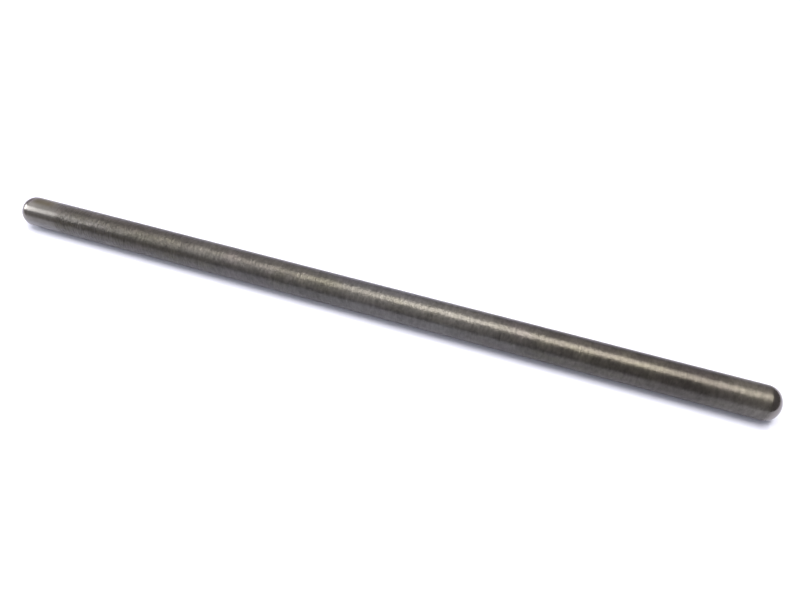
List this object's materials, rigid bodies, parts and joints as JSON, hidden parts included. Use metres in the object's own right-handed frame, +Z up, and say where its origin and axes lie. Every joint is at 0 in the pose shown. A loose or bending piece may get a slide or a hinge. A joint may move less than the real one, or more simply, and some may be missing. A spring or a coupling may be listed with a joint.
{
  "type": "engine pushrod",
  "caption": "Solid ground steel rod with a ball tip turned on each end, which carries the push of a cam follower to a rocker arm.",
  "frame": {"origin": "middle of the rod's axis, half way between the two tips", "axes": "+X along the rod towards the tappet tip, +Z up with the rod lying level"},
  "size_m": [0.149, 0.006, 0.006],
  "materials": {
    "ground_steel": "dark satin steel, ground round its length, one tip rubbed brighter"
  },
  "bodies": {
    "root": {"pushrod": "ground_steel"}
  },
  "joints": []
}
